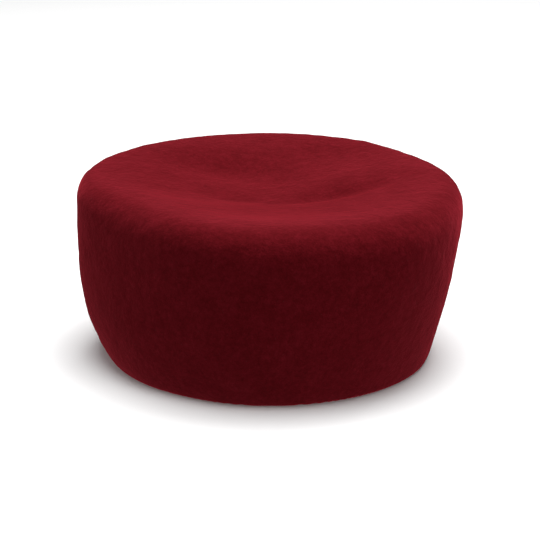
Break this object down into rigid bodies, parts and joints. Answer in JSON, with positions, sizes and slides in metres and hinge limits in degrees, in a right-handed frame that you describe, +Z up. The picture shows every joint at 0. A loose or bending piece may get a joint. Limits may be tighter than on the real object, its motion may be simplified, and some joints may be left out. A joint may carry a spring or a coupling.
{
  "type": "felt fez hat",
  "caption": "Low brimless felt cap, wider at its gently sunken crown than at its cut rim, hollow and open below.",
  "frame": {"origin": "on the level of the cut rim, under the middle of the crown", "axes": "+Z up through the crown, -Y towards the front, +X towards the viewer's right"},
  "size_m": [0.2174, 0.2167, 0.1039],
  "materials": {
    "wool_felt": "matt, softly fuzzy wool felt"
  },
  "bodies": {
    "root": {"felt_cap": "wool_felt"}
  },
  "joints": []
}
